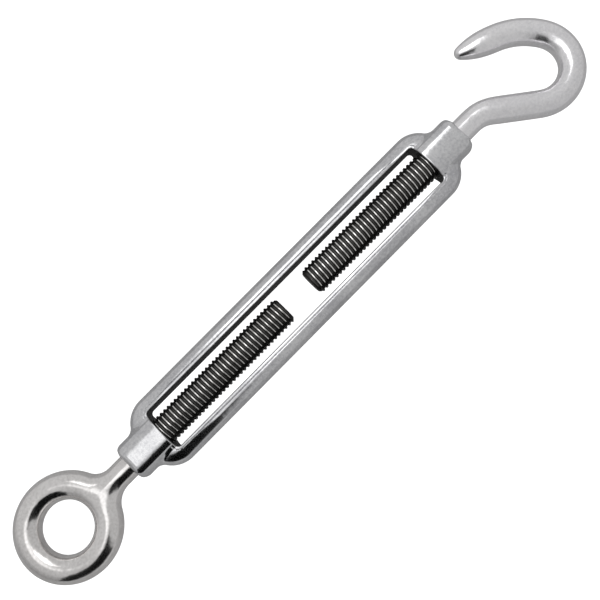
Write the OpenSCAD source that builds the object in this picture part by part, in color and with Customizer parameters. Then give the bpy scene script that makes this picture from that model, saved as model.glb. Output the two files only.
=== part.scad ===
// Open-body rigging turnbuckle with a closed eye at one end and an open hook at the other.
// The origin is the centre of the eye's hole. +X runs along the turnbuckle towards the hook,
// +Z runs along the eye's hole, and +Y is the side that the hook's tip is on.
// The eye has a right-hand thread and the hook a left-hand one, so turning the frame draws both in.

/* [Frame] */
// Length of the frame over both bosses
frame_len = 120; // [108:1:150]
// Width of the frame across its two rails
frame_w = 20; // [19.4:0.1:23]
// Length of each threaded boss
boss_len = 12; // [11:0.5:15]
// Width of a boss across its rounded sides
boss_w = 11.1; // [11:0.05:12.5]
// Thickness of a boss over its two flats
boss_t = 10; // [9.6:0.1:11.5]
// Diameter that a boss is rounded to
boss_round_d = 11.7; // [11.6:0.1:12.6]
// Width of one rail, seen from above
rail_w = 4; // [3.5:0.1:4.4]
// Thickness of a rail
rail_t = 6.6; // [5:0.1:7.6]
// Radius of the convex outer side of a rail
rail_round = 4.2; // [4:0.1:5]
// Distance from the frame's end to where a shoulder begins
shoulder_start = 5; // [4.6:0.1:6]
// Radius of a shoulder, seen from above
shoulder_r = 7.7; // [6.5:0.1:8]
// Radius in the corners of the open window
window_r = 2.4; // [1:0.1:3]
// Radius on the outer edge of a boss
boss_edge_r = 0.9; // [0.4:0.1:1.2]

/* [Threads] */
// Nominal diameter of the two threads
thread_d = 8; // [8:0.5:8.5]
// Pitch of the two threads
thread_pitch = 1.25; // [1:0.25:1.5]
// Radial gap between a rod and the boss that it turns in
thread_gap = 0.05; // [0.02:0.01:0.1]
// Length of the eye's thread that stands inside the window at rest
eye_thread_in = 43.8; // [20:0.1:46]
// Length of the hook's thread that stands inside the window at rest
hook_thread_in = 42.9; // [20:0.1:46]

/* [Eye] */
// Diameter of the ring's round section
eye_wire_d = 7.3; // [7:0.1:7.6]
// Diameter of the ring along the middle of its section
eye_mid_d = 20.8; // [20.6:0.1:21]
// Diameter of the narrow cylindrical land inside the eye
eye_hole_d = 13.9; // [13.8:0.01:14]
// Distance from the eye's centre to the frame at rest
eye_reach = 22.2; // [21.5:0.1:26]
// Length of straight neck between the frame and the flare
eye_neck_len = 5; // [4.8:0.1:6]
// Width of the flare where it runs into the ring
eye_flare_w = 13; // [10:0.1:14]

/* [Hook] */
// Diameter of the straight necks of both end fittings
neck_d = 6.6; // [6:0.1:6.6]
// Diameter of the round bar that the hook is bent from
hook_wire_d = 7.2; // [6.8:0.1:7.4]
// Length of straight shank between the frame and the first bend
hook_shank_len = 4.7; // [4.5:0.1:6]
// Radius of the first bend, along the middle of the bar
hook_bend_r = 9.1; // [8:0.1:12]
// Angle of the first bend
hook_bend_angle = 38; // [30:1:45]
// Length of the straight leg down to the bowl
hook_leg_len = 12.6; // [10:0.1:15]
// Radius of the bowl, along the middle of the bar
hook_bowl_r = 9.65; // [8.5:0.05:12]
// Angle that the bowl turns through
hook_bowl_angle = 157; // [145:1:165]
// Radius of the flatter bend above the bowl
hook_mouth_r = 19.3; // [18:0.1:24]
// Angle that the flatter bend turns through
hook_mouth_angle = 39; // [30:1:45]
// Length of the tapered tip
hook_tip_len = 10.4; // [9:0.1:12]
// Radius of the tip where its blunt end begins
hook_tip_r = 1.6; // [1:0.1:1.8]

/* [Hidden] */
$fn = 96;
// Overlap that makes two solids join, or a cut break through
eps = 0.02;
// Depth to which one stretch of bent bar runs into the next
sink = 0.3;
big = 60;
frame_x0 = eye_reach;
frame_x1 = eye_reach + frame_len;
rod_d = thread_d - thread_gap;
bore_d = thread_d + thread_gap;
window_len = frame_len - 2 * boss_len;
window_w = frame_w - 2 * rail_w;
// A rod's tip tapers over its last turn of thread
tip_len = 0.9 * thread_pitch;
// The thread stops just inside the frame's outer face, where the smooth neck begins
rod_inset = 0.6;
flare_start_x = eye_reach - eye_neck_len;
// The hook's tip is turned from one long arc, which starts level with the bar
tip_root_r = hook_wire_d / 2 - 2 * eps;
tip_drop = tip_root_r - hook_tip_r;
tip_arc_r = (pow(hook_tip_len, 2) + pow(tip_drop, 2)) / (2 * tip_drop);
tip_end_angle = asin(hook_tip_len / tip_arc_r);
tip_ball_x = hook_tip_len - hook_tip_r * tan(tip_end_angle);
tip_ball_r = hook_tip_r / cos(tip_end_angle) - 2 * eps;
steel = [0.74, 0.74, 0.76];
steel_warm = [0.78, 0.77, 0.75];
steel_dark = [0.42, 0.42, 0.44];

// A cylinder that lies along +X
module bar_x(d, len) {
    rotate([0, 90, 0])
        cylinder(d = d, h = len);
}

// Frame -----------------------------------------------------------------------

// One end boss, with its outer face at x = 0: a round bar with four flats and a rounded outer edge
module boss() {
    intersection() {
        rotate([0, 90, 0])
            rotate_extrude() {
                translate([0, boss_edge_r])
                    square([boss_round_d / 2, boss_len - boss_edge_r]);
                square([boss_round_d / 2 - boss_edge_r, boss_len]);
                translate([boss_round_d / 2 - boss_edge_r, boss_edge_r])
                    circle(boss_edge_r);
            }
        translate([0, -boss_w / 2, -boss_t / 2])
            cube([boss_len, boss_w, boss_t]);
    }
}

// Cross-section of one rail with its outer side at distance reach from the axis of the section:
// flat above and below, and convex outside
module rail_section(reach) {
    intersection() {
        translate([reach - rail_round, 0])
            circle(rail_round);
        translate([0, -rail_t / 2])
            square([reach, rail_t]);
    }
    translate([0, -rail_t / 2])
        square([reach - rail_round, rail_t]);
}

// One shoulder at the frame's first end: the rail's section turned through a quarter circle
module shoulder() {
    translate([shoulder_start + shoulder_r, frame_w / 2 - shoulder_r, 0])
        rotate([0, 0, 90])
            rotate_extrude(angle = 90)
                rail_section(shoulder_r);
}

// Half of the frame's blank, from one outer face to the middle of its length
module half_blank() {
    boss();
    for (side = [0, 1])
        mirror([0, side, 0]) {
            shoulder();
            translate([shoulder_start + shoulder_r, 0, 0])
                rotate([90, 0, 90])
                    linear_extrude(frame_len / 2 - shoulder_start - shoulder_r + eps)
                        rail_section(frame_w / 2);
        }
    translate([shoulder_start, shoulder_r - frame_w / 2, -rail_t / 2])
        cube([2 * shoulder_r, frame_w - 2 * shoulder_r, rail_t]);
}

// Outline of the open window between the bosses, with round corners
module window_outline() {
    translate([boss_len, -window_w / 2 + window_r])
        square([window_len, window_w - 2 * window_r]);
    translate([boss_len + window_r, -window_w / 2])
        square([window_len - 2 * window_r, window_w]);
    for (x = [boss_len + window_r, frame_len - boss_len - window_r], y = [-1, 1])
        translate([x, y * (window_w / 2 - window_r)])
            circle(window_r);
}

module frame() {
    color(steel)
        translate([frame_x0, 0, 0])
            difference() {
                union() {
                    half_blank();
                    translate([frame_len, 0, 0])
                        mirror([1, 0, 0])
                            half_blank();
                }
                translate([0, 0, -big / 2])
                    linear_extrude(big)
                        window_outline();
                translate([-1, 0, 0])
                    bar_x(bore_d, frame_len + 2);
            }
}

// Threaded rods ---------------------------------------------------------------

// One rod, len long, with its outboard end at x = 0 and its tip on the +X side. The thread is
// drawn at its outer diameter.
module rod(len) {
    bar_x(rod_d, len - tip_len);
    translate([len - tip_len - eps, 0, 0])
        rotate([0, 90, 0])
            cylinder(d1 = rod_d, d2 = rod_d - 2 * tip_len, h = tip_len + eps);
}

module eye_rod() {
    color(steel_dark)
        translate([frame_x0 + rod_inset, 0, 0])
            rod(boss_len + eye_thread_in - rod_inset);
}

module hook_rod() {
    color(steel_dark)
        translate([frame_x1 - rod_inset, 0, 0])
            mirror([1, 0, 0])
                rod(boss_len + hook_thread_in - rod_inset);
}

// Eye -------------------------------------------------------------------------

module eye_end() {
    color(steel_warm)
        difference() {
            union() {
                rotate_extrude()
                    translate([eye_mid_d / 2, 0])
                        circle(d = eye_wire_d);
                translate([eye_mid_d / 2, 0, 0])
                    bar_x(neck_d, frame_x0 + rod_inset - eye_mid_d / 2);
                // The neck spreads sideways into the ring and keeps the ring's thickness
                intersection() {
                    translate([flare_start_x, 0, 0])
                        rotate([0, -90, 0])
                            cylinder(d1 = neck_d, d2 = eye_flare_w, h = flare_start_x - eye_mid_d / 2);
                    cube([big, big, eye_wire_d], center = true);
                }
            }
            cylinder(d = eye_hole_d, h = big, center = true);
        }
}

// Hook ------------------------------------------------------------------------

// Each stretch of the bent bar runs a little way into the one before it, just inside its surface,
// so that no two stretches meet face to face.

// A bend in the plane z = 0 that starts at the origin along +X. dir is 1 for a left turn and
// -1 for a right turn, d is the bar's diameter, and lead is how far the bend starts before the
// origin. Its children carry on from its end.
module bend(r, angle, dir, d = hook_wire_d, lead = 0) {
    lead_angle = lead / r * 180 / PI;
    translate([0, dir * r, 0])
        rotate([0, 0, dir > 0 ? -90 - lead_angle : 90 - angle])
            rotate_extrude(angle = angle + lead_angle)
                translate([r, 0])
                    circle(d = d);
    translate([r * sin(angle), dir * r * (1 - cos(angle)), 0])
        rotate([0, 0, dir * angle])
            children();
}

// A straight stretch along +X, whose children carry on from its end. It runs into the bends
// before and after it.
module leg(len) {
    translate([-sink, 0, 0])
        bar_x(hook_wire_d - 2 * eps, len + 2 * sink);
    translate([len, 0, 0])
        children();
}

// The tapered tip along +X, with a blunt round end
module hook_tip() {
    rotate([0, 90, 0])
        rotate_extrude()
            intersection() {
                translate([tip_root_r - tip_arc_r, 0])
                    circle(tip_arc_r);
                translate([0, -sink])
                    square([tip_root_r, sink + hook_tip_len]);
            }
    translate([tip_ball_x, 0, 0])
        sphere(tip_ball_r);
}

module hook_end() {
    color(steel)
        translate([frame_x1, 0, 0]) {
            translate([-rod_inset, 0, 0])
                bar_x(neck_d, rod_inset + hook_shank_len + sink);
            translate([hook_shank_len, 0, 0])
                bend(hook_bend_r, hook_bend_angle, -1)
                    leg(hook_leg_len)
                        bend(hook_bowl_r, hook_bowl_angle, 1)
                            bend(hook_mouth_r, hook_mouth_angle, 1, hook_wire_d - 2 * eps, sink)
                                hook_tip();
        }
}

frame();
eye_rod();
eye_end();
hook_rod();
hook_end();
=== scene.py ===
"""The looks of an open-body rigging turnbuckle: a cast frame, an eye bolt and a hook bolt.

Lengths are in millimetres, in the CAD frame, and become metres when a mesh is made. The frame and
the eye are the level surfaces of a distance field, the hook is a swept bar, and the threads are
true helices: right-hand on the eye bolt and left-hand on the hook bolt.
"""

import math

import bmesh
import bpy
import numpy as np
from mathutils import Matrix, Vector


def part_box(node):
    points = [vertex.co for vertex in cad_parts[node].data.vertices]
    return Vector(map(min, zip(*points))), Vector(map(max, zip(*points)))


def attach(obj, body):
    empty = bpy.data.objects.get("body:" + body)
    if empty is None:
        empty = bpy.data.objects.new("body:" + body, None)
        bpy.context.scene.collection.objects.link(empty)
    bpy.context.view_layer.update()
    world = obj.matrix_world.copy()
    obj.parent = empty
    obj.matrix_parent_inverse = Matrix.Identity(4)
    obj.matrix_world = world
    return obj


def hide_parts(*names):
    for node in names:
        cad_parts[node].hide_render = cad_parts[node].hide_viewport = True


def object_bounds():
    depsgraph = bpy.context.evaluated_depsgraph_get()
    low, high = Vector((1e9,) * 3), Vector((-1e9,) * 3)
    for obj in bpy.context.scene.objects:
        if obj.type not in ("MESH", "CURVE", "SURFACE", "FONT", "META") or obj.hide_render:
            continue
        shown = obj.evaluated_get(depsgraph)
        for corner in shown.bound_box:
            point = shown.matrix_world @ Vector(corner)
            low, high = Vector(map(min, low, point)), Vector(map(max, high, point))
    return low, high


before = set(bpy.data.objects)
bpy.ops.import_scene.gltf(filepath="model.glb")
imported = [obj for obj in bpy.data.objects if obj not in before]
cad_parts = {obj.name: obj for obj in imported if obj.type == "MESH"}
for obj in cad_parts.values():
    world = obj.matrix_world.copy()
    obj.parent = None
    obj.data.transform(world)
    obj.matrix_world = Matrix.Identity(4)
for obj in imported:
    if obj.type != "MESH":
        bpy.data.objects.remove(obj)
cad_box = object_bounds()

MM = 0.001


def box_mm(node):
    """A CAD node's lowest and highest corners, in millimetres."""
    low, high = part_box(node)
    return np.array(low) / MM, np.array(high) / MM


# Sizes ------------------------------------------------------------------------------------------

FRAME_LOW, FRAME_HIGH = box_mm("frame")
FRAME_MID = (FRAME_LOW[0] + FRAME_HIGH[0]) / 2
FRAME_HALF = (FRAME_HIGH[0] - FRAME_LOW[0]) / 2
FRAME_HALF_W = FRAME_HIGH[1]
BOSS_HALF_T = FRAME_HIGH[2]

BOSS_LEN = 12.0
BOSS_HALF_W = 5.55
BOSS_ROUND_R = 5.85
BOSS_END_R = 1.8
BOSS_FLAT_EDGE_R = 0.9
# The fillet between a boss and a shoulder, at the frame's middle plane and at its faces
BOSS_JOIN_R = 1.7
BOSS_TOP_JOIN_R = 0.8
# The heights between which that fillet changes
BOSS_JOIN_LOW = 1.2
BOSS_JOIN_HIGH = 3.0
# How far a boss reaches into the window before the window is cut
BOSS_OVERLAP = 1.0
SHOULDER_START = 5.0
SHOULDER_R = 7.7
RAIL_W = 4.0
RAIL_HALF_T = 3.3
# How far in from its outline the frame's outer side starts to round over, on a rail and a shoulder.
# The one becomes the other over a length that starts this far past the window's end
RAIL_SIDE = 2.75
SHOULDER_SIDE = 4.6
SIDE_CHANGE_START = -14.0
SIDE_CHANGE_LEN = 13.0
# A narrow strip along the window is set off by a groove and slopes a little towards the window
STRIP_W = 0.92
STRIP_SLOPE = 0.08
GROOVE_DEPTH = 0.2
GROOVE_HALF_W = 0.2
WINDOW_R = 1.1
WINDOW_EDGE_R = 0.32
# The window's walls get painted shade, and are rough as cast, up to this near its outline, and that
# fades over this much
WALL_CLEAR = 0.02
WALL_FADE = 0.3
BORE_R = 4.025
BORE_CHAMFER = 0.5
BORE_EDGE_R = 0.1
# How much of each end of the frame has the finer mesh
END_STRETCH = 26.0

# How far the eye's and the hook's necks reach into the frame's ends
NECK_INSET = 0.6

EYE_LOW, EYE_HIGH = box_mm("eye_end")
EYE_WIRE_R = EYE_HIGH[2]
EYE_MID_R = -EYE_LOW[0] - EYE_WIRE_R
EYE_STRETCH = 1.03
NECK_R = 3.3
NECK_TAPER = 6.0
# Where the eye's neck stops, inside the frame
NECK_END = FRAME_LOW[0] + NECK_INSET + 1.0
# The corners between the neck and the ring, on the -Y side and on the +Y side
FLARE_R = 5.8, 5.0
# Where the neck runs into the ring, the bar is wider, by this much on each side and fading out over
# this reach
CROTCH_X = 12.6
CROTCH_WIDER = 1.45
CROTCH_REACH = 2.4

# The hook's bar runs on from its neck as a shank, a bend away, a straight leg, the round bowl, a
# wider mouth and the tip. Angles are in degrees
HOOK_WIRE_R = 3.6
HOOK_SHANK = 4.7
HOOK_BEND_R = 9.1
HOOK_BEND_ANGLE = 38
HOOK_LEG = 12.6
HOOK_BOWL_R = 9.65
HOOK_BOWL_ANGLE = 157
HOOK_MOUTH_R = 19.3
HOOK_MOUTH_ANGLE = 39
HOOK_TIP = 10.4
HOOK_TIP_R = 1.6
HOOK_TIP_POWER = 2.4
# How gradually the bar's bends begin and end, and how far along it swells from neck to full size
HOOK_EASE = 2.6
HOOK_SWELL = 9.0

PITCH = 1.25
# One pitch of the thread's profile: the place along the pitch and the height, crest to crest
THREAD_ROWS = [
    (0.0, 1.0), (0.08, 1.0), (0.115, 0.96), (0.15, 0.84), (0.25, 0.5), (0.35, 0.16), (0.385, 0.04),
    (0.42, 0.0), (0.5, 0.0), (0.58, 0.0), (0.615, 0.04), (0.65, 0.16), (0.75, 0.5), (0.85, 0.84),
    (0.885, 0.96), (0.92, 1.0),
]
ROOT_R = 3.52
TIP_R = 3.05
# The crests rise to their full height over this stretch, next to the neck
RUNOUT_START = 0.1
RUNOUT_LEN = 1.6 * PITCH
# How fast the painted shade comes on down the flanks, and how strong the painted shade in the root
# is
FLANK_SHADE = 1.4
ROOT_SHADE = 0.93


# Meshes -----------------------------------------------------------------------------------------

def new_piece(name, points, faces, normals=None):
    """A smooth-shaded mesh object from points in millimetres."""
    mesh = bpy.data.meshes.new(name)
    mesh.from_pydata((np.asarray(points) * MM).tolist(), [], [list(f) for f in faces])
    mesh.validate()
    mesh.polygons.foreach_set("use_smooth", [True] * len(mesh.polygons))
    if normals is not None:
        mesh.normals_split_custom_set_from_vertices(np.asarray(normals).tolist())
    mesh.update()
    piece = bpy.data.objects.new(name, mesh)
    bpy.context.scene.collection.objects.link(piece)
    return piece


def add_attribute(piece, name, values):
    """A number at each point of a piece, which its material reads."""
    attribute = piece.data.attributes.new(name, "FLOAT", "POINT")
    attribute.data.foreach_set("value", np.asarray(values, np.float32))


def gradient(field, points, step=0.004):
    """The field's gradient at each point, by central differences."""
    columns = []
    for axis in range(3):
        shift = np.zeros(3)
        shift[axis] = step
        columns.append((field(points + shift) - field(points - shift)) / (2 * step))
    return np.stack(columns, axis=-1)


def level_surface(field, xs, ys, zs, steps=6, least_slope=0.05):
    """The surface where a field is zero, as points, quads and outward normals.

    Each grid cell that the surface crosses gets one point, which is then moved onto the surface.
    """
    grid = np.stack(np.meshgrid(xs, ys, zs, indexing="ij"), axis=-1)
    value = field(grid)
    inside = value < 0
    corners = [(i, j, k) for i in (0, 1) for j in (0, 1) for k in (0, 1)]
    count = sum(shifted(inside, c).astype(np.int8) for c in corners)
    cells = np.argwhere((count > 0) & (count < 8))
    total = np.zeros((len(cells), 3))
    hits = np.zeros(len(cells))
    for a in corners:
        for axis in range(3):
            if a[axis]:
                continue
            b = list(a)
            b[axis] = 1
            at_a, at_b = tuple((cells + a).T), tuple((cells + b).T)
            va, vb = value[at_a], value[at_b]
            crossed = (va < 0) != (vb < 0)
            share = np.where(crossed, va / np.where(crossed, va - vb, 1), 0)
            point = grid[at_a] + share[:, None] * (grid[at_b] - grid[at_a])
            total += np.where(crossed[:, None], point, 0)
            hits += crossed
    points = total / hits[:, None]
    for _ in range(steps):
        slope = gradient(field, points)
        size = np.maximum((slope**2).sum(axis=1), least_slope)
        points -= (field(points) / size)[:, None] * slope
    index = np.full(count.shape, -1)
    index[tuple(cells.T)] = np.arange(len(cells))
    faces = np.concatenate([edge_quads(inside, index, axis) for axis in range(3)])
    slope = gradient(field, points)
    return points, faces, slope / np.linalg.norm(slope, axis=1)[:, None]


def shifted(array, corner):
    """The array's values at one corner of every cell."""
    return array[tuple(slice(c, c - 1 or None) for c in corner)]


def edge_quads(inside, index, axis):
    """A quad round each grid edge along an axis that the surface crosses."""
    u, v = (axis + 1) % 3, (axis + 2) % 3
    start = np.take(inside, range(inside.shape[axis] - 1), axis)
    end = np.take(inside, range(1, inside.shape[axis]), axis)
    edges = np.argwhere(start != end)
    edges = edges[(edges[:, u] > 0) & (edges[:, v] > 0)]
    outward = start[tuple(edges.T)]
    ring = []
    for du, dv in ((1, 1), (0, 1), (0, 0), (1, 0)):
        cell = edges.copy()
        cell[:, u] -= du
        cell[:, v] -= dv
        ring.append(index[tuple(cell.T)])
    quads = np.stack(ring, axis=1)
    quads[~outward] = quads[~outward][:, ::-1]
    return quads


def steps_between(start, end, size):
    """Evenly spaced values from start to end, about size apart."""
    return np.linspace(start, end, max(2, round((end - start) / size) + 1))


def grid_line(*stretches):
    """One grid axis from stretches of (start, end, spacing) that follow each other."""
    parts = [steps_between(*s)[:-1] for s in stretches]
    return np.concatenate([*parts, [stretches[-1][1]]])


def mirrored(line):
    """A grid axis on both sides of zero, from its positive half, which starts above zero."""
    return np.concatenate([-line[::-1], line])


# Distance fields --------------------------------------------------------------------------------

def smooth_step(t):
    """0 below 0, 1 above 1, and a smooth curve between."""
    t = np.clip(t, 0, 1)
    return t * t * (3 - 2 * t)


def round_rect(x, y, half_x, half_y, r):
    """Distance from a rectangle with round corners."""
    dx, dy = np.abs(x) - (half_x - r), np.abs(y) - (half_y - r)
    outside = np.hypot(np.maximum(dx, 0), np.maximum(dy, 0))
    return outside + np.minimum(np.maximum(dx, dy), 0) - r


def round_cut(a, b, r):
    """Where two solids overlap, with the edge between them rounded."""
    corner = np.hypot(np.maximum(a + r, 0), np.maximum(b + r, 0))
    return np.minimum(np.maximum(a, b), -r) + corner


def fillet_join(a, b, r):
    """Two solids joined, with a fillet in the corner between them."""
    corner = np.hypot(np.maximum(r - a, 0), np.maximum(r - b, 0))
    return np.maximum(np.minimum(a, b), r) - corner


def window_distance(p):
    """Distance from the frame's window outline, seen from above."""
    half_len = FRAME_HALF - BOSS_LEN
    return round_rect(p[..., 0] - FRAME_MID, p[..., 1], half_len, FRAME_HALF_W - RAIL_W, WINDOW_R)


def frame_field(p):
    """The cast frame: two rails and their shoulders, joined to a boss at each end."""
    u, y, z = np.abs(p[..., 0] - FRAME_MID), np.abs(p[..., 1]), np.abs(p[..., 2])
    outline = round_rect(u, y, FRAME_HALF - SHOULDER_START, FRAME_HALF_W, SHOULDER_R)
    to_shoulder = smooth_step((u - (FRAME_HALF - BOSS_LEN) - SIDE_CHANGE_START) / SIDE_CHANGE_LEN)
    side_w = RAIL_SIDE + (SHOULDER_SIDE - RAIL_SIDE) * to_shoulder
    side = np.hypot(np.maximum(outline + side_w, 0), z * side_w / RAIL_HALF_T) - side_w
    window = window_distance(p)
    groove = GROOVE_DEPTH * np.maximum(0, 1 - np.abs(window - STRIP_W) / GROOVE_HALF_W)
    face = RAIL_HALF_T - STRIP_SLOPE * np.maximum(0, STRIP_W - window) - groove
    rails = np.maximum(side, z - face)
    boss = round_cut(np.hypot(y, z) - BOSS_ROUND_R, z - BOSS_HALF_T, BOSS_FLAT_EDGE_R)
    boss = round_cut(boss, y - BOSS_HALF_W, BOSS_FLAT_EDGE_R)
    boss = round_cut(boss, u - FRAME_HALF, BOSS_END_R)
    boss = round_cut(boss, FRAME_HALF - BOSS_LEN - BOSS_OVERLAP - u, BOSS_FLAT_EDGE_R)
    to_top = smooth_step((z - BOSS_JOIN_LOW) / (BOSS_JOIN_HIGH - BOSS_JOIN_LOW))
    join_r = BOSS_JOIN_R + (BOSS_TOP_JOIN_R - BOSS_JOIN_R) * to_top
    body = fillet_join(rails, boss, join_r)
    body = round_cut(body, -window, WINDOW_EDGE_R)
    bore = BORE_R + np.maximum(0, u - FRAME_HALF + BORE_CHAMFER) - np.hypot(y, z)
    return round_cut(body, bore, BORE_EDGE_R)


def make_frame():
    """The frame. Its grid is coarse along the straight rails, finer at the ends, and finest across
    the groove and the rails' faces. It runs a little past the frame on every side."""
    end_from = FRAME_HALF - END_STRETCH
    groove = FRAME_HALF_W - RAIL_W + STRIP_W
    strip_from, strip_to = groove - 1.4, groove + 0.3
    face_from, face_to = RAIL_HALF_T - 1.2, RAIL_HALF_T + 0.3
    along = grid_line((0.7, end_from, 2.0), (end_from, FRAME_HALF + 1, 0.27))
    across = grid_line((0.15, strip_from, 0.3), (strip_from, strip_to, 0.085),
                       (strip_to, FRAME_HALF_W + 0.6, 0.2))
    up = grid_line((0.15, face_from, 0.35), (face_from, face_to, 0.125),
                   (face_to, BOSS_HALF_T + 0.6, 0.25))
    xs = FRAME_MID + mirrored(along)
    points, faces, normals = level_surface(frame_field, xs, mirrored(across), mirrored(up))
    piece = new_piece("frame_body", points, faces, normals)
    # Painted shade for the window's walls, which are also rough as cast: full on the walls and
    # fading out near the window's outline
    shade_and_cast_wall = 1 - (window_distance(points) - WALL_CLEAR) / WALL_FADE
    add_attribute(piece, "wall_shade_and_cast_finish", np.clip(shade_and_cast_wall, 0, 1))
    return piece


def eye_outline(x, y):
    """Distance from the eye's outline, seen from above: the ring, the neck and two round corners."""
    outer = EYE_MID_R + EYE_WIRE_R
    size = np.hypot(x, y)
    depth = size - (EYE_MID_R - EYE_WIRE_R)
    for side, r in zip((-1, 1), FLARE_R):
        corner_y = NECK_R + r
        corner_x = math.sqrt((outer + r) ** 2 - corner_y**2)
        over = side * y
        to_corner = np.hypot(x - corner_x, over - corner_y) - r
        to_side = np.where(x > corner_x, NECK_R - over, to_corner)
        on_ring = np.arctan2(over, x) > math.atan2(corner_y, corner_x)
        depth = np.minimum(depth, np.where(on_ring | (x < 0), outer - size, to_side))
    return -depth


def eye_field(p):
    """The eye: a ring of round bar and the neck that runs into it, both rounded from one outline."""
    x, y, z = p[..., 0], p[..., 1], p[..., 2]
    along_neck = smooth_step((x - EYE_MID_R - EYE_WIRE_R) / NECK_TAPER)
    half_t = EYE_WIRE_R - (EYE_WIRE_R - NECK_R) * along_neck
    crotch = np.exp(-((x - CROTCH_X) ** 2 + y**2) / CROTCH_REACH**2)
    half_w = half_t + CROTCH_WIDER * crotch
    outline = eye_outline(x / EYE_STRETCH, y)
    body = np.hypot(np.maximum(outline + half_w, 0), z * half_w / half_t) - half_w
    return np.maximum(body, x - NECK_END)


def make_eye(step=0.3):
    """The eye and its neck. The grid's margins keep its planes off the flattest parts of the bar."""
    xs = steps_between(EYE_LOW[0] - 4 * step, NECK_END + 0.8, step)
    ys = steps_between(-EYE_HIGH[1] - 3 * step, EYE_HIGH[1] + 3 * step, step)
    zs = steps_between(-EYE_WIRE_R - 1.5 * step, EYE_WIRE_R + 1.5 * step, step)
    points, faces, normals = level_surface(eye_field, xs, ys, zs)
    return new_piece("eye_ring", points, faces, normals)


# Swept and turned shapes ------------------------------------------------------------------------

def tube(rings):
    """Points and faces of a tube, closed at both ends, from rings that all have as many points."""
    count = len(rings[0])
    points = [p for ring in rings for p in ring]
    faces = []
    for i in range(len(rings) - 1):
        for j in range(count):
            a, b = i * count + j, i * count + (j + 1) % count
            faces.append((a, b, b + count, a + count))
    faces.append(tuple(range(count))[::-1])
    faces.append(tuple(range(len(points) - count, len(points))))
    return np.array(points), faces


def hook_path(step=0.25, samples=8001):
    """Distance along the bar's middle line, its points and its headings.

    The line is straight stretches and arcs, and its curvature is smoothed where they meet.
    """
    stretches = [
        (NECK_INSET + HOOK_SHANK, 0),
        (math.radians(HOOK_BEND_ANGLE) * HOOK_BEND_R, -1 / HOOK_BEND_R),
        (HOOK_LEG, 0),
        (math.radians(HOOK_BOWL_ANGLE) * HOOK_BOWL_R, 1 / HOOK_BOWL_R),
        (math.radians(HOOK_MOUTH_ANGLE) * HOOK_MOUTH_R, 1 / HOOK_MOUTH_R),
        (HOOK_TIP, 0),
    ]
    ends = np.cumsum([s[0] for s in stretches])
    along = steps_between(0, ends[-1], step)
    curvature = np.array([s[1] for s in stretches])
    fine = np.linspace(-HOOK_EASE, ends[-1] + HOOK_EASE, samples)
    turn = curvature[np.minimum(np.searchsorted(ends, fine), len(stretches) - 1)]
    turn[(fine < 0) | (fine > ends[-1])] = 0
    spacing = fine[1] - fine[0]
    window = np.hanning(round(2 * HOOK_EASE / spacing))
    turn = np.convolve(turn, window / window.sum(), "same")
    heading = np.cumsum(turn) * spacing
    x = np.cumsum(np.cos(heading)) * spacing
    y = np.cumsum(np.sin(heading)) * spacing
    start = np.interp(0, fine, x), np.interp(0, fine, y)
    place = np.stack([np.interp(along, fine, x) - start[0], np.interp(along, fine, y) - start[1]], 1)
    return along, place, np.interp(along, fine, heading)


def make_hook(sides=64, dome_rings=10, last_ring=0.06):
    """The hook: a bar of changing radius along hook_path, with a domed tip. last_ring is the angle
    between the tip and the dome's last ring."""
    along, place, heading = hook_path()
    tip_start = along[-1] - HOOK_TIP
    radius = NECK_R + (HOOK_WIRE_R - NECK_R) * smooth_step((along - HOOK_SHANK) / HOOK_SWELL)
    taper = np.clip((along - tip_start) / HOOK_TIP, 0, 1) ** HOOK_TIP_POWER
    radius = radius - (HOOK_WIRE_R - HOOK_TIP_R) * taper
    slope = math.atan(HOOK_TIP_POWER * (HOOK_WIRE_R - HOOK_TIP_R) / HOOK_TIP)
    ball_r = HOOK_TIP_R / math.cos(slope)
    dome = np.linspace(slope, math.pi / 2 - last_ring, dome_rings + 1)[1:]
    end = np.array([math.cos(heading[-1]), math.sin(heading[-1])])
    middle = place[-1] - end * ball_r * math.sin(slope)
    place = np.concatenate([place, middle + np.outer(np.sin(dome) * ball_r, end)])
    radius = np.concatenate([radius, np.cos(dome) * ball_r])
    heading = np.concatenate([heading, np.full(dome_rings, heading[-1])])
    turn = np.linspace(0, 2 * math.pi, sides, endpoint=False)
    rings = []
    for (x, y), angle, r in zip(place, heading, radius):
        across = r * np.cos(turn)
        rings.append(np.stack([
            FRAME_HIGH[0] - NECK_INSET + x - across * math.sin(angle),
            y + across * math.cos(angle),
            r * np.sin(turn),
        ], axis=1))
    points, faces = tube(rings)
    return new_piece("hook_bar", points, faces)


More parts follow.
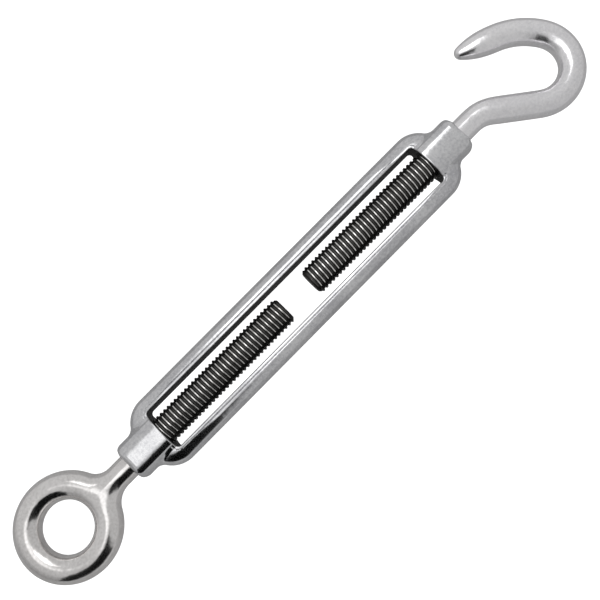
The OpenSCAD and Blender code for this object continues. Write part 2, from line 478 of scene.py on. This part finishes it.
def make_thread(name, node, direction, sides=56):
    """One threaded rod. direction is 1 where the tip points along +X, for a right-hand thread,
    and -1 where it points the other way, for a left-hand one. Its rows of points follow the helix,
    and the rows that would run past an end are pressed onto it."""
    low, high = box_mm(node)
    length = high[0] - low[0]
    crest_r = high[2]
    rows = len(THREAD_ROWS)
    turns = round(length / PITCH + 2)
    k, j = np.meshgrid(np.arange(turns * rows), np.arange(sides), indexing="ij")
    share = j / sides
    phase, height = np.array(THREAD_ROWS)[k % rows].transpose(2, 0, 1)
    x = np.clip(PITCH * (k // rows + phase - 1 + share), 0, length)
    cut = smooth_step((x - RUNOUT_START) / RUNOUT_LEN)
    profile = ROOT_R + (crest_r - ROOT_R) * height * cut
    radius = np.minimum(profile, TIP_R + (length - x))
    angle = 2 * math.pi * share
    start = low[0] if direction > 0 else high[0]
    points = np.stack([start + direction * x, radius * np.cos(angle), radius * np.sin(angle)], -1)
    points = points.reshape(-1, 3)
    depth = np.clip((crest_r - radius) / (crest_r - ROOT_R), 0, 1).ravel()
    # Painted shade: strongest half way down the flanks, and set by the root's share in the roots
    flank = FLANK_SHADE * 4 * depth * (1 - depth)
    faces = []
    for i in range(turns * rows - 1):
        for c in range(sides):
            a = i * sides + c
            b = a + 1 if c < sides - 1 else (i + rows) * sides
            if b + sides < turns * rows * sides:
                face = (a, a + sides, b + sides, b)
                faces.append(face if direction > 0 else face[::-1])
    piece = new_piece(name, points, faces)
    add_attribute(piece, "thread_shade", np.clip(np.maximum(flank, ROOT_SHADE * depth), 0, 1))
    close_ends(piece)
    return piece


def close_ends(piece, same_place=2e-6, shortest=1e-7):
    """Joins the points that lie on each other, drops faces with no area and closes the two ends.

    The two distances are in metres, as the mesh is by then.
    """
    mesh = bmesh.new()
    mesh.from_mesh(piece.data)
    bmesh.ops.remove_doubles(mesh, verts=mesh.verts, dist=same_place)
    bmesh.ops.dissolve_degenerate(mesh, dist=shortest, edges=mesh.edges)
    loose = [v for v in mesh.verts if not v.link_faces]
    bmesh.ops.delete(mesh, geom=loose, context="VERTS")
    rims = [e for e in mesh.edges if e.is_boundary]
    made = bmesh.ops.holes_fill(mesh, edges=rims, sides=0)
    for face in made["faces"]:
        face.smooth = False
    bmesh.ops.recalc_face_normals(mesh, faces=mesh.faces)
    mesh.to_mesh(piece.data)
    mesh.free()
    piece.data.update()


# Materials --------------------------------------------------------------------------------------

# Noise scales, per metre: patches of tone, the gentle waves of polished metal, and its pits
PATCH_SCALE = 90
WAVE_SCALE = 260
PIT_SCALE = 1400
# Painted shade and as-cast roughness for the window's walls, and painted shade and roughness for a
# thread's flanks
WALL_PAINTED_SHADE = 0.02, 0.02, 0.02, 1
CAST_ROUGH = 0.55
PAINTED_FLANK_SHADE = 0.02, 0.019, 0.018, 1
FLANK_ROUGH = 0.5
FLANK_COVER = 0.98


class Nodes:
    """A short way to add nodes to a material and link them."""

    def __init__(self, tree):
        self.tree = tree

    def add(self, kind, **settings):
        """A node of a kind. Its inputs are sockets, which are linked, or plain values."""
        node = self.tree.nodes.new(kind)
        inputs = settings.pop("inputs", {})
        for key, value in settings.items():
            setattr(node, key, value)
        for key, value in inputs.items():
            if isinstance(value, bpy.types.NodeSocket):
                self.tree.links.new(value, node.inputs[key])
            else:
                node.inputs[key].default_value = value
        return node

    def noise(self, place, scale, detail, roughness):
        """Noise from 0 to 1, mostly near a half."""
        node = self.add("ShaderNodeTexNoise", inputs={
            "Vector": place, "Scale": scale, "Detail": detail, "Roughness": roughness})
        return node.outputs["Fac"]

    def spread(self, value, low, high, to_low, to_high):
        """A value's place between low and high, put between to_low and to_high."""
        node = self.add("ShaderNodeMapRange", inputs={
            "Value": value, "From Min": low, "From Max": high, "To Min": to_low, "To Max": to_high})
        return node.outputs["Result"]

    def mix(self, share, a, b):
        """A mix of two colours. Sockets 6 and 7 are a colour mix's A and B."""
        node = self.add("ShaderNodeMix", data_type="RGBA", inputs={0: share, 6: a, 7: b})
        return node.outputs[2]

    def mix_number(self, share, a, b):
        """A mix of two numbers. Sockets 2 and 3 are a number mix's A and B."""
        node = self.add("ShaderNodeMix", data_type="FLOAT", inputs={0: share, 2: a, 3: b})
        return node.outputs[0]

    def cover(self, shader, share, colour, roughness):
        """Lays another colour and roughness over a shader's own, by share."""
        for name, mix, value in (("Base Color", self.mix, colour),
                                 ("Roughness", self.mix_number, roughness)):
            own = shader.inputs[name].links[0].from_socket
            self.tree.links.new(mix(share, own, value), shader.inputs[name])

    def maths(self, operation, a, b):
        """Two numbers put together by one maths operation."""
        node = self.add("ShaderNodeMath", operation=operation, inputs={0: a, 1: b})
        return node.outputs[0]


def steel(name, light, dark, rough, grain=0.02, orange_peel=0.15):
    """Polished cast stainless steel: its tone and roughness drift, and it is finely pitted.

    light and dark are the ends of its tone. grain is the depth of the pits, and orange_peel that of
    the gentle waves.
    """
    material = bpy.data.materials.new(name)
    material.use_nodes = True
    nodes = Nodes(material.node_tree)
    shader = nodes.tree.nodes["Principled BSDF"]
    place = nodes.add("ShaderNodeTexCoord").outputs["Object"]
    broad = nodes.noise(place, PATCH_SCALE, 4.0, 0.6)
    fine = nodes.noise(place, PIT_SCALE, 3.0, 0.6)
    # The two noises add up to about 1, and rarely stray from it by more than 0.2
    mottle = nodes.maths("ADD", broad, fine)
    tone = nodes.mix(nodes.spread(mottle, 0.8, 1.2, 0, 1), (*dark, 1), (*light, 1))
    # Darker patches are rougher
    roughness = nodes.spread(broad, 0.3, 0.7, rough * 1.25, rough * 0.8)
    shader.inputs["Metallic"].default_value = 1.0
    nodes.tree.links.new(tone, shader.inputs["Base Color"])
    nodes.tree.links.new(roughness, shader.inputs["Roughness"])
    swell = nodes.noise(place, WAVE_SCALE, 2.0, 0.5)
    waves = nodes.add("ShaderNodeBump", inputs={
        "Height": swell, "Strength": orange_peel, "Distance": 0.0004})
    pits = nodes.add("ShaderNodeBump", inputs={
        "Height": fine, "Strength": grain, "Distance": 0.0001, "Normal": waves.outputs["Normal"]})
    nodes.tree.links.new(pits.outputs["Normal"], shader.inputs["Normal"])
    return material, nodes, shader


def frame_steel():
    """The frame's steel, with painted shade on the window's walls, which are also dull as cast."""
    material, nodes, shader = steel("frame_cast_steel", (0.78, 0.78, 0.79), (0.57, 0.57, 0.59), 0.15,
                                    grain=0.07)
    shade_and_cast_wall = nodes.add("ShaderNodeAttribute", attribute_name="wall_shade_and_cast_finish").outputs["Fac"]
    # Painted shade on the window's walls, together with their real as-cast roughness
    nodes.cover(shader, shade_and_cast_wall, WALL_PAINTED_SHADE, CAST_ROUGH)
    return material


def eye_steel():
    """The eye's steel, a little warmer than the rest."""
    return steel("eye_polished_steel", (0.89, 0.87, 0.86), (0.74, 0.72, 0.71), 0.18,
                 grain=0.05, orange_peel=0.25)[0]


def hook_steel():
    """The hook's steel, the lightest."""
    return steel("hook_polished_steel", (1.0, 0.99, 1.0), (0.87, 0.86, 0.88), 0.22,
                 grain=0.05, orange_peel=0.3)[0]


def thread_steel():
    """The threads' steel, with painted shade down the flanks and in the roots, so that only the
    crests stay bright.
    """
    material, nodes, shader = steel("thread_cut_steel", (0.99, 0.98, 0.96), (0.6, 0.59, 0.57), 0.13)
    flank = nodes.add("ShaderNodeAttribute", attribute_name="thread_shade").outputs["Fac"]
    # Painted shade down the flanks and in the roots, with a duller roughness there
    nodes.cover(shader, nodes.maths("MULTIPLY", flank, FLANK_COVER), PAINTED_FLANK_SHADE, FLANK_ROUGH)
    return material


# Pieces -----------------------------------------------------------------------------------------

def finish_piece(piece, body, node, material):
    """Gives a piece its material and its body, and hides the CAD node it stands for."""
    piece.data.materials.append(material)
    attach(piece, body)
    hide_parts(node)


threads = thread_steel()
finish_piece(make_frame(), "body", "frame", frame_steel())
finish_piece(make_eye(), "eye_fitting", "eye_end", eye_steel())
finish_piece(make_thread("eye_thread", "eye_rod", 1), "eye_fitting", "eye_rod", threads)
finish_piece(make_hook(), "hook_fitting", "hook_end", hook_steel())
finish_piece(make_thread("hook_thread", "hook_rod", -1), "hook_fitting", "hook_rod",
             threads)


# Stage ------------------------------------------------------------------------------------------

# Light levels of the surroundings on the -Y side and on the +Y side
SIDE_LEVELS = 0.5, 0.58
# The share of that level which is left far out towards -X
FAR_LEFT = 0.55
# The floor's own light, as the camera sees it
FLOOR_GLOW = 0.95
# Cards that the steel mirrors: name, light level, the share of the size inside the fading edge, and
# corners in millimetres
CARDS = [
    ("dark_card", 0.0, 0.9,
     [(-330, -150, 18), (40, -150, 18), (40, -150, 445), (-330, -150, 445)]),
    ("left_box", 1.2, 0.55,
     [(-56, -56, 200), (44, -56, 200), (44, 70, 200), (-10, 78, 200), (-58, 62, 200)]),
    ("right_box", 2.0, 0.75,
     [(40, -24, 201), (70, -6, 201), (150, 4, 201), (256, 140, 201), (30, 140, 201)]),
]


def make_floor(half_size=3000.0, clearance=1.0):
    """A plain floor, low enough to lie clear of the eye and the hook however they are turned.

    The camera sees it lit up to white, and the steel mirrors it without that light.
    """
    z = -max(-cad_box[0].y, cad_box[1].y) / MM - clearance
    corners = [(x * half_size, y * half_size, z) for x, y in ((-1, -1), (1, -1), (1, 1), (-1, 1))]
    floor = new_piece("floor", corners, [(0, 1, 2, 3)])
    material = bpy.data.materials.new("pale_floor")
    material.use_nodes = True
    nodes = Nodes(material.node_tree)
    shader = nodes.tree.nodes["Principled BSDF"]
    shader.inputs["Base Color"].default_value = (0.7, 0.7, 0.7, 1)
    shader.inputs["Roughness"].default_value = 0.9
    shader.inputs["Emission Color"].default_value = (1, 1, 1, 1)
    seen = nodes.add("ShaderNodeLightPath").outputs["Is Camera Ray"]
    glow = nodes.spread(seen, 0, 1, 0.0, FLOOR_GLOW)
    nodes.tree.links.new(glow, shader.inputs["Emission Strength"])
    floor.data.materials.append(material)


def make_cards():
    """Cards near the object, as a studio has. The steel mirrors them; the camera doesn't see them.

    Each is a solid core with a rim round it, over which it fades out.
    """
    for name, level, core_share, corners in CARDS:
        rim = np.array(corners, float)
        core = rim.mean(axis=0) + (rim - rim.mean(axis=0)) * core_share
        count = len(rim)
        faces = [range(count)]
        for i in range(count):
            j = (i + 1) % count
            faces.append((i, i + count, j + count, j))
        card = new_piece(name, np.concatenate([core, rim]), faces)
        add_attribute(card, "card_core", [1.0] * count + [0.0] * count)
        material = bpy.data.materials.new(name)
        material.use_nodes = True
        nodes = Nodes(material.node_tree)
        core = nodes.add("ShaderNodeAttribute", attribute_name="card_core").outputs["Fac"]
        clear = nodes.add("ShaderNodeBsdfTransparent").outputs[0]
        glow = nodes.add("ShaderNodeEmission", inputs={"Strength": level}).outputs[0]
        mixed = nodes.add("ShaderNodeMixShader", inputs={0: core, 1: clear, 2: glow}).outputs[0]
        output = nodes.tree.nodes["Material Output"]
        nodes.tree.links.new(mixed, output.inputs["Surface"])
        card.data.materials.append(material)
        card.visible_camera = False
        card.visible_diffuse = False
        card.visible_shadow = False


def make_world():
    """Even grey surroundings, a little lighter on the +Y side and darker far out towards -X."""
    world = bpy.data.worlds.new("studio")
    world.use_nodes = True
    nodes = Nodes(world.node_tree)
    background = nodes.tree.nodes["Background"]
    direction = nodes.add("ShaderNodeTexCoord").outputs["Generated"]
    split = nodes.add("ShaderNodeSeparateXYZ", inputs={0: direction}).outputs
    level = nodes.spread(split["Y"], -0.45, 0.3, *SIDE_LEVELS)
    level = nodes.maths("MULTIPLY", level, nodes.spread(split["X"], -1, -0.7, FAR_LEFT, 1))
    seen = nodes.add("ShaderNodeLightPath").outputs["Is Camera Ray"]
    colour = nodes.mix(seen, level, (1, 1, 1, 1))
    nodes.tree.links.new(colour, background.inputs["Color"])
    background.inputs["Strength"].default_value = 1.0
    bpy.context.scene.world = world


def make_camera():
    """A camera over the frame, leaning a little towards the eye and away from the hook's tip."""
    target = np.array([82.25, -1.115, 0.0])
    distance = 226.0
    lean_x, lean_y = math.radians(-2.42), math.radians(-7.34)
    roll = math.radians(45.23)
    back = np.array([math.tan(lean_x), math.tan(lean_y), 1.0])
    back /= np.linalg.norm(back)
    along = np.array([1.0, 0, 0]) - back * back[0]
    along /= np.linalg.norm(along)
    across = np.cross(back, along)
    right = along * math.cos(roll) - across * math.sin(roll)
    up = along * math.sin(roll) + across * math.cos(roll)
    data = bpy.data.cameras.new("camera")
    data.sensor_width = 36
    data.lens = 52.7
    data.clip_start = 0.01
    camera = bpy.data.objects.new("camera", data)
    bpy.context.scene.collection.objects.link(camera)
    rotation = Matrix([right, up, back]).transposed()
    place = Vector((target + back * distance) * MM)
    camera.matrix_world = Matrix.Translation(place) @ rotation.to_4x4()
    bpy.context.scene.camera = camera


make_floor()
make_cards()
make_world()
make_camera()
bpy.context.scene.view_settings.view_transform = "Standard"
